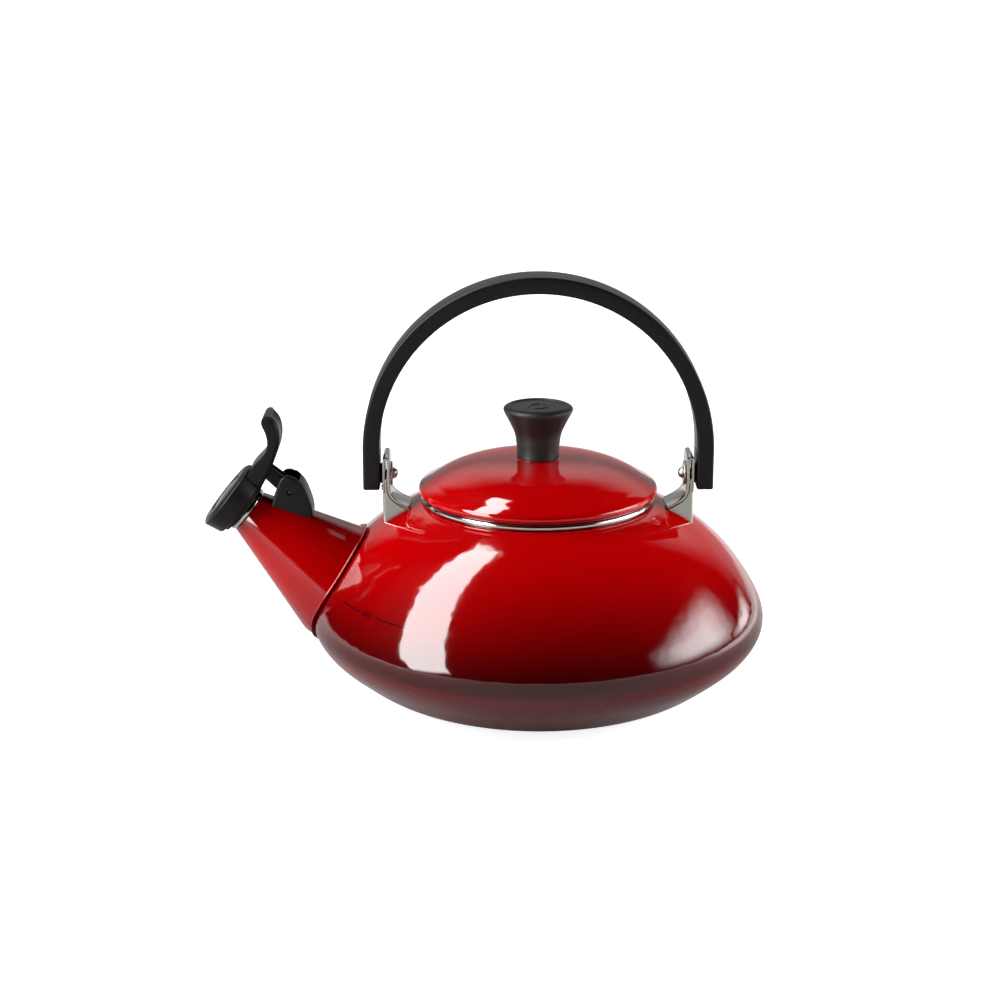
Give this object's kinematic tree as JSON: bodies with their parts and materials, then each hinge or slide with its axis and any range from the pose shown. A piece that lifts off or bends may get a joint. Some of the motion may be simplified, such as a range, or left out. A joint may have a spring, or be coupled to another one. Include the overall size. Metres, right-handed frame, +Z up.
{
  "type": "stovetop whistling kettle",
  "caption": "Low round enamelled stovetop kettle with a conical spout, hinged whistle with thumb lever, lift-off lid and arched fold-down handle.",
  "frame": {"origin": "on the body's axis, at the flat base", "axes": "+Z up along the body's axis, the spout points to -X, the handle folds about an axis parallel to X"},
  "size_m": [0.2549, 0.2066, 0.189],
  "materials": {
    "red_enamel": "high gloss vitreous enamel",
    "stainless_rim": "polished stainless",
    "bracket_steel": "satin stainless sheet",
    "fastener_steel": "polished stainless",
    "whistle_steel": "polished stainless",
    "black_phenolic": "fine-grained satin",
    "black_moulding": "fine-grained satin",
    "brass_insert": "machined",
    "black_silicone": "matte"
  },
  "bodies": {
    "kettle": {"body_shell": "red_enamel", "body_rim_ring": "stainless_rim", "spout": "red_enamel", "spout_rim_ring": "stainless_rim", "spout_lug": "bracket_steel", "hinge_saddle": "black_moulding", "hinge_pin": "fastener_steel", "left_bracket": "bracket_steel", "right_bracket": "bracket_steel", "left_detent_stud": "fastener_steel", "right_detent_stud": "fastener_steel"},
    "handle_arch": {"handle": "black_phenolic", "left_spacer": "black_moulding", "right_spacer": "black_moulding", "left_pivot_washer": "fastener_steel", "right_pivot_washer": "fastener_steel", "left_pivot_screw": "fastener_steel", "right_pivot_screw": "fastener_steel", "left_handle_insert": "brass_insert", "right_handle_insert": "brass_insert"},
    "lid": {"lid_shell": "red_enamel", "lid_collar": "stainless_rim", "lid_knob": "black_phenolic", "knob_insert": "brass_insert", "knob_washer": "fastener_steel", "knob_screw": "fastener_steel"},
    "whistle": {"whistle_cap": "black_moulding", "thumb_lever": "black_moulding", "lever_screw": "fastener_steel", "whistle_front_plate": "whistle_steel", "whistle_back_plate": "whistle_steel", "whistle_gasket": "black_silicone", "whistle_spring": "fastener_steel"}
  },
  "joints": [
    {"name": "handle_fold", "type": "hinge", "parent": "kettle", "child": "handle_arch", "pos_m": [0, 0, 0.0983], "axis": [1, 0, 0], "range_deg": [-100, 100]},
    {"name": "lid_lift", "type": "slide", "parent": "kettle", "child": "lid", "axis": [0, 0, 1], "range_m": [0, 0.046]},
    {"name": "whistle_hinge", "type": "hinge", "parent": "kettle", "child": "whistle", "pos_m": [-0.112, 0, 0.0911], "axis": [0, 1, 0], "range_deg": [0, 55], "stiffness_Nm_per_rad": 0.04, "springref_deg": -28.65}
  ]
}
